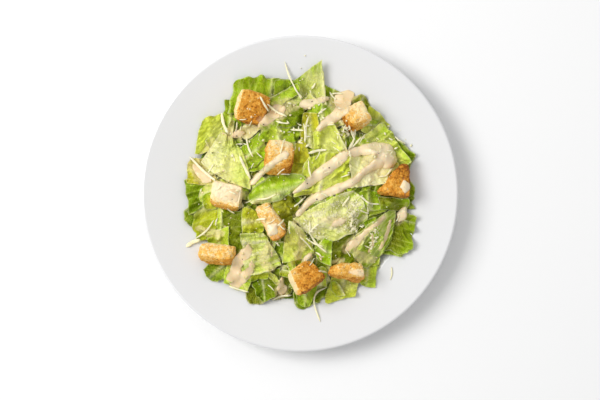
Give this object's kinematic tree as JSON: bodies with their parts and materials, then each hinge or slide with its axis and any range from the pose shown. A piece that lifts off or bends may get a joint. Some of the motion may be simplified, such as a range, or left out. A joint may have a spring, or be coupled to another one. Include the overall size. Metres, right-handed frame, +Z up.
{
  "type": "caesar salad on a dinner plate",
  "caption": "Caesar salad of chopped romaine with toasted bread croutons, shredded hard cheese and creamy dressing, heaped on a round white dinner plate.",
  "frame": {"origin": "centre of the plate's foot ring, on the surface it stands on", "axes": "+Z up out of the plate; +Y towards the far side of the plate, +X to the right, as a diner looking down sees it"},
  "size_m": [0.266, 0.266, 0.0623],
  "materials": {
    "porcelain": "gloss",
    "romaine": "satin",
    "crouton": "matte",
    "dressing": "gloss",
    "cheese": "satin",
    "pepper": "matte"
  },
  "bodies": {
    "root": {"plate": "porcelain", "romaine": "romaine", "crouton_1": "crouton", "crouton_2": "crouton", "crouton_3": "crouton", "crouton_4": "crouton", "crouton_5": "crouton", "crouton_6": "crouton", "crouton_7": "crouton", "crouton_8": "crouton", "crouton_9": "crouton"}
  },
  "joints": []
}
